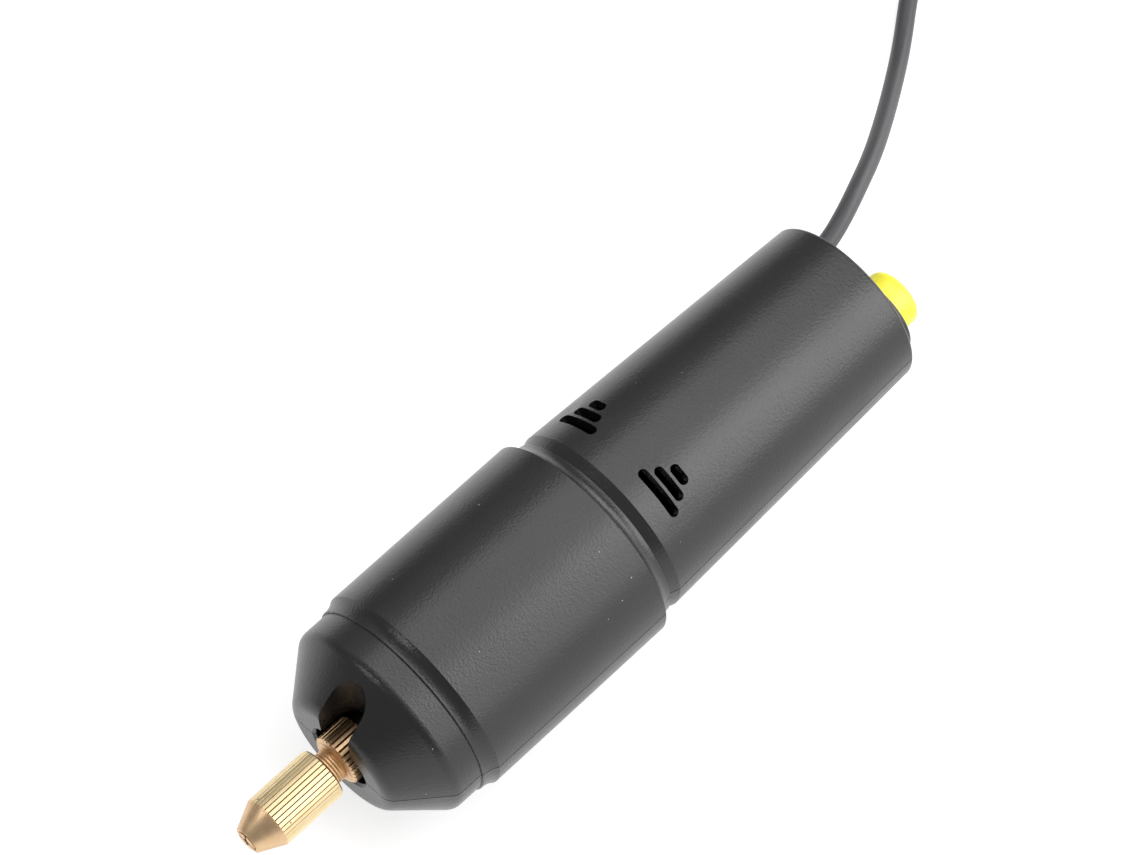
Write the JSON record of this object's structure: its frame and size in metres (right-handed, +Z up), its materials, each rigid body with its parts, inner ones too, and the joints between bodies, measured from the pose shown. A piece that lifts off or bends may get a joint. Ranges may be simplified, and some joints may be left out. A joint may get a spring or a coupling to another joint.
{
  "type": "pen drill",
  "caption": "Small corded craft drill with a black two-shell body, yellow push button and knurled brass collet chuck, its thin lead coiled beside it.",
  "frame": {"origin": "ground plane under the middle of the tool's own length, lead left out", "axes": "+X along the tool axis from the chuck to the button, +Z up through the top shell, body parting plane horizontal"},
  "size_m": [0.2752, 0.0773, 0.036],
  "materials": {
    "body_plastic": "satin moulded ABS",
    "brass": "turned",
    "button_plastic": "moulded",
    "switch_plastic": "moulded",
    "switch_metal": "plated",
    "motor_steel": "zinc plated",
    "core_steel": "laminated",
    "shaft_steel": "ground",
    "magnet": "sintered ferrite",
    "bush_bronze": "sintered bronze",
    "copper": "enamelled wire",
    "carbon": "carbon graphite",
    "end_cap_plastic": "moulded nylon",
    "screw_steel": "blackened",
    "spring_steel": "drawn",
    "cord_pvc": "soft PVC, satin",
    "tie_nylon": "nylon",
    "coil_strap": "woven hook and loop strap",
    "wire_red": "PVC",
    "wire_black": "PVC",
    "plug_pvc": "moulded PVC",
    "plug_steel": "nickel plated",
    "tongue_plastic": "moulded",
    "contact_gold": "gold plated"
  },
  "bodies": {
    "body": {"top_shell": "body_plastic", "bottom_shell": "body_plastic", "housing_screws": "screw_steel", "motor_can": "motor_steel", "front_bush": "bush_bronze", "rear_bush": "bush_bronze", "motor_magnets": "magnet", "motor_end_cap": "end_cap_plastic", "motor_terminals": "brass", "brushes": "carbon", "brush_springs": "brass", "switch_body": "switch_plastic", "switch_nut": "switch_metal", "switch_terminals": "brass", "button_spring": "spring_steel", "cord": "cord_pvc", "cord_coil": "cord_pvc", "cord_tail": "cord_pvc", "cord_entry": "cord_pvc", "cord_stop_tie": "tie_nylon", "coil_tie": "coil_strap", "plug_grip": "plug_pvc", "plug_shell": "plug_steel", "plug_tongue": "tongue_plastic", "plug_contacts": "contact_gold", "supply_wire": "wire_red", "switch_wire": "wire_red", "return_wire": "wire_black"},
    "spindle": {"motor_shaft": "shaft_steel", "rotor_core": "core_steel", "rotor_windings": "copper", "commutator": "copper", "chuck_body": "brass", "chuck_grub_screws": "screw_steel"},
    "collet": {"collet": "brass"},
    "chuck_nut": {"chuck_nut": "brass"},
    "button": {"button_cap": "button_plastic"}
  },
  "joints": [
    {"name": "spindle_spin", "type": "hinge", "parent": "body", "child": "spindle", "pos_m": [0, 0, 0.018], "axis": [1, 0, 0], "continuous": true},
    {"name": "collet_draw", "type": "slide", "parent": "spindle", "child": "collet", "axis": [1, 0, 0], "range_m": [-0.0015, 0.00112]},
    {"name": "nut_turn", "type": "hinge", "parent": "collet", "child": "chuck_nut", "pos_m": [0, 0, 0.018], "axis": [1, 0, 0], "range_deg": [-722, 542]},
    {"name": "button_press", "type": "slide", "parent": "body", "child": "button", "axis": [-1, 0, 0], "range_m": [0, 0.0022], "stiffness_N_per_m": 500, "springref_m": -0.001, "deforming": ["button_spring"]}
  ],
  "couplings": [
    {"joint": "nut_turn", "follows": "collet_draw", "rad_per_m": 8377.6}
  ]
}
